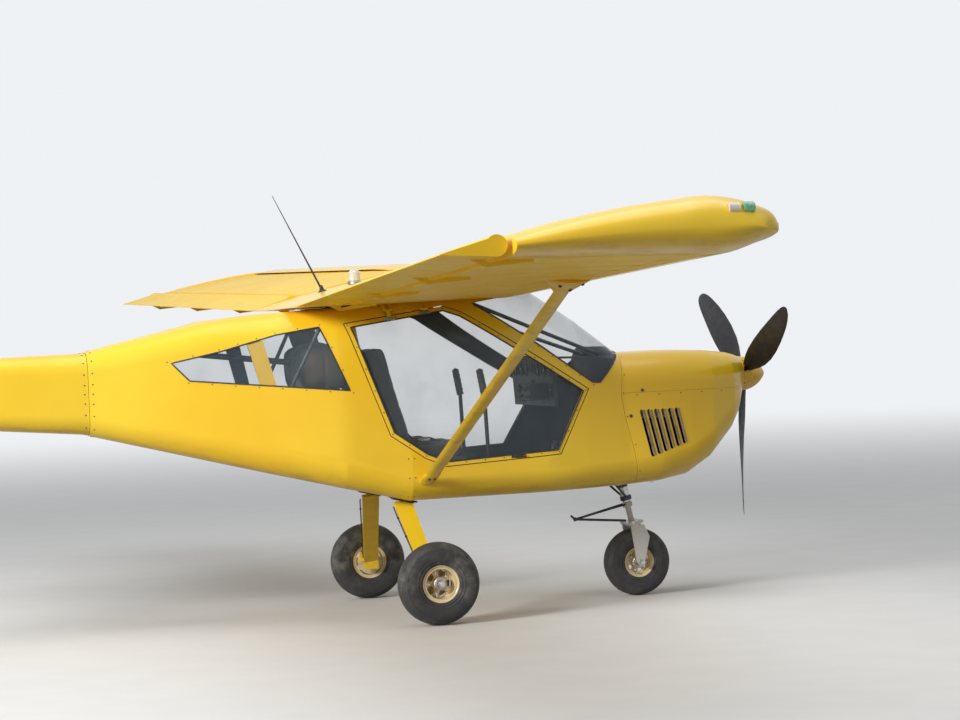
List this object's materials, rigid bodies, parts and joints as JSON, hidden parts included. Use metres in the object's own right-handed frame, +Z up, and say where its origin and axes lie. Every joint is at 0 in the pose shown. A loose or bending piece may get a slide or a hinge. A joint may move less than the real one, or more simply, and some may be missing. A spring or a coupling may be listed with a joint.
{
  "type": "microlight aircraft",
  "caption": "High-wing two-seat microlight with strut-braced wing, tricycle gear, glazed top-hinged doors and a tractor propeller.",
  "frame": {"origin": "centre of the bounding box at floor level, under the cabin", "axes": "+X towards the nose, +Y towards the left wing tip, +Z up from the floor the wheels stand on"},
  "size_m": [6.224, 9.55, 2.371],
  "materials": {
    "yellow": "gloss",
    "glazing": "clear",
    "tyre": "matt",
    "rim": "satin",
    "steel": "satin",
    "prop": "satin",
    "seat": "woven",
    "dark": "matt",
    "engine": "cast",
    "fork": "satin",
    "lamp": "clear"
  },
  "bodies": {
    "airframe": {"fuselage_rear": "yellow", "fuselage_tub": "yellow", "cabin_roof": "yellow", "rear_windows": "glazing", "windscreen": "glazing", "cowl_upper": "yellow", "cowl_lower": "yellow", "firewall": "steel", "engine_block": "engine", "wing_centre": "yellow", "wing_right": "yellow", "wing_left": "yellow", "wing_tip_right": "yellow", "wing_tip_left": "yellow", "lift_strut_right": "yellow", "lift_strut_left": "yellow", "tail_boom": "yellow", "tailplane": "yellow", "fin": "yellow", "main_leg_right": "yellow", "main_leg_left": "yellow", "nose_leg": "steel", "seat_right": "seat", "seat_left": "seat", "instrument_panel": "dark", "cabin_floor": "dark", "rear_shelf": "dark", "rear_bag": "seat", "control_sticks": "dark", "pedals": "steel", "cabin_tubes": "dark", "window_posts": "yellow", "antenna": "dark", "beacon": "lamp", "drain_pipe": "steel", "tip_lamps": "lamp"},
    "propeller": {"propeller_blades": "prop", "spinner": "yellow"},
    "wheel_right": {"main_right_tyre": "tyre", "main_right_rim": "rim"},
    "wheel_left": {"main_left_tyre": "tyre", "main_left_rim": "rim"},
    "fork": {"nose_fork": "fork", "nose_link": "steel"},
    "wheel_nose": {"nose_tyre": "tyre", "nose_rim": "rim"},
    "door_right": {"door_frame_right": "yellow", "door_pane_right": "glazing"},
    "door_left": {"door_frame_left": "yellow", "door_pane_left": "glazing"},
    "flaperon_right": {"flaperon_right": "yellow"},
    "flaperon_left": {"flaperon_left": "yellow"},
    "elevator": {"elevator": "yellow"},
    "rudder": {"rudder": "yellow"}
  },
  "joints": [
    {"name": "propeller_turn", "type": "hinge", "parent": "airframe", "child": "propeller", "pos_m": [2.976, 0, 1.248], "axis": [1, 0, 0], "continuous": true},
    {"name": "main_wheel_right", "type": "hinge", "parent": "airframe", "child": "wheel_right", "pos_m": [0.89, -0.87, 0.222], "axis": [0, 1, 0], "continuous": true},
    {"name": "main_wheel_left", "type": "hinge", "parent": "airframe", "child": "wheel_left", "pos_m": [0.89, 0.87, 0.222], "axis": [0, 1, 0], "continuous": true},
    {"name": "nose_steering", "type": "hinge", "parent": "airframe", "child": "fork", "pos_m": [2.213, 0, 0.66], "axis": [-0.2124, 0, 0.9772], "range_deg": [-25, 25]},
    {"name": "nose_wheel", "type": "hinge", "parent": "fork", "child": "wheel_nose", "pos_m": [2.284, 0, 0.194], "axis": [0, 1, 0], "continuous": true},
    {"name": "door_right_swing", "type": "hinge", "parent": "airframe", "child": "door_right", "pos_m": [0.86, -0.5, 1.69], "axis": [-1, 0, 0], "range_deg": [0, 60]},
    {"name": "door_left_swing", "type": "hinge", "parent": "airframe", "child": "door_left", "pos_m": [0.86, 0.5, 1.69], "axis": [1, 0, 0], "range_deg": [0, 60]},
    {"name": "flaperon_right_turn", "type": "hinge", "parent": "airframe", "child": "flaperon_right", "pos_m": [0.44986, -0.72, 1.70143], "axis": [-0.0544, -0.9981, 0.0302], "range_deg": [-18, 30]},
    {"name": "flaperon_left_turn", "type": "hinge", "parent": "airframe", "child": "flaperon_left", "pos_m": [0.44986, 0.72, 1.70143], "axis": [0.0544, -0.9981, -0.0302], "range_deg": [-18, 30]},
    {"name": "elevator_turn", "type": "hinge", "parent": "airframe", "child": "elevator", "pos_m": [-2.812, 0, 1.33], "axis": [0, -1, 0], "range_deg": [-25, 20]},
    {"name": "rudder_turn", "type": "hinge", "parent": "airframe", "child": "rudder", "pos_m": [-2.833, 0, 1.53], "axis": [-0.0822, 0, 0.9966], "range_deg": [-25, 25]}
  ]
}
